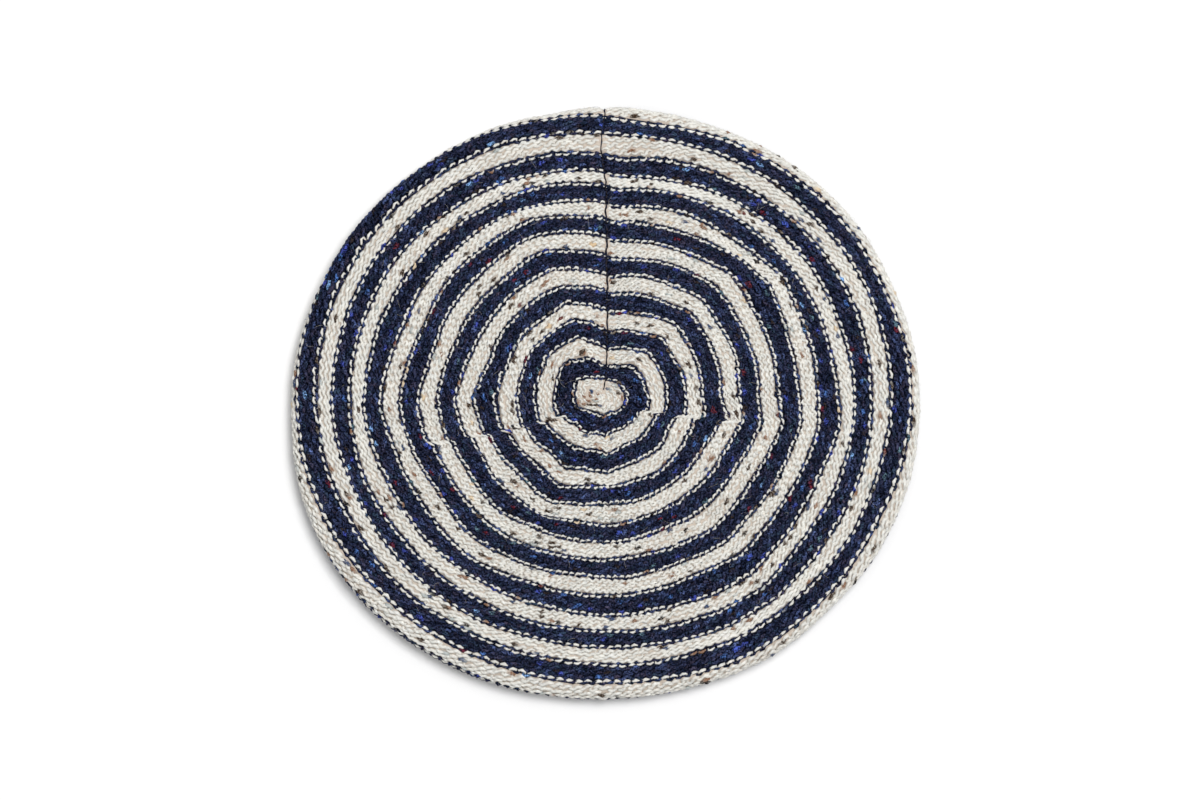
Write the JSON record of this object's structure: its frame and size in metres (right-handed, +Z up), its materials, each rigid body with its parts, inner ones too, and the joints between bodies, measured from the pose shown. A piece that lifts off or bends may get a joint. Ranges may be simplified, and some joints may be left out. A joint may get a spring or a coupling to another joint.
{
  "type": "knitted slouch beret",
  "caption": "Round knitted wool beret lying flat, with concentric dark and light stripes, a hollow soft crown with a rolled rim, and a ribbed band round the head opening.",
  "frame": {"origin": "under the middle of the beret, on the surface that it lies on", "axes": "+Z up through the crown, +Y to the back along the seam, +X to the right seen from above"},
  "size_m": [0.2958, 0.2784, 0.031],
  "materials": {
    "cream_wool": "flecked knitted wool",
    "navy_wool": "flecked knitted wool"
  },
  "bodies": {
    "root": {"crown": "cream_wool", "band": "navy_wool"}
  },
  "joints": []
}
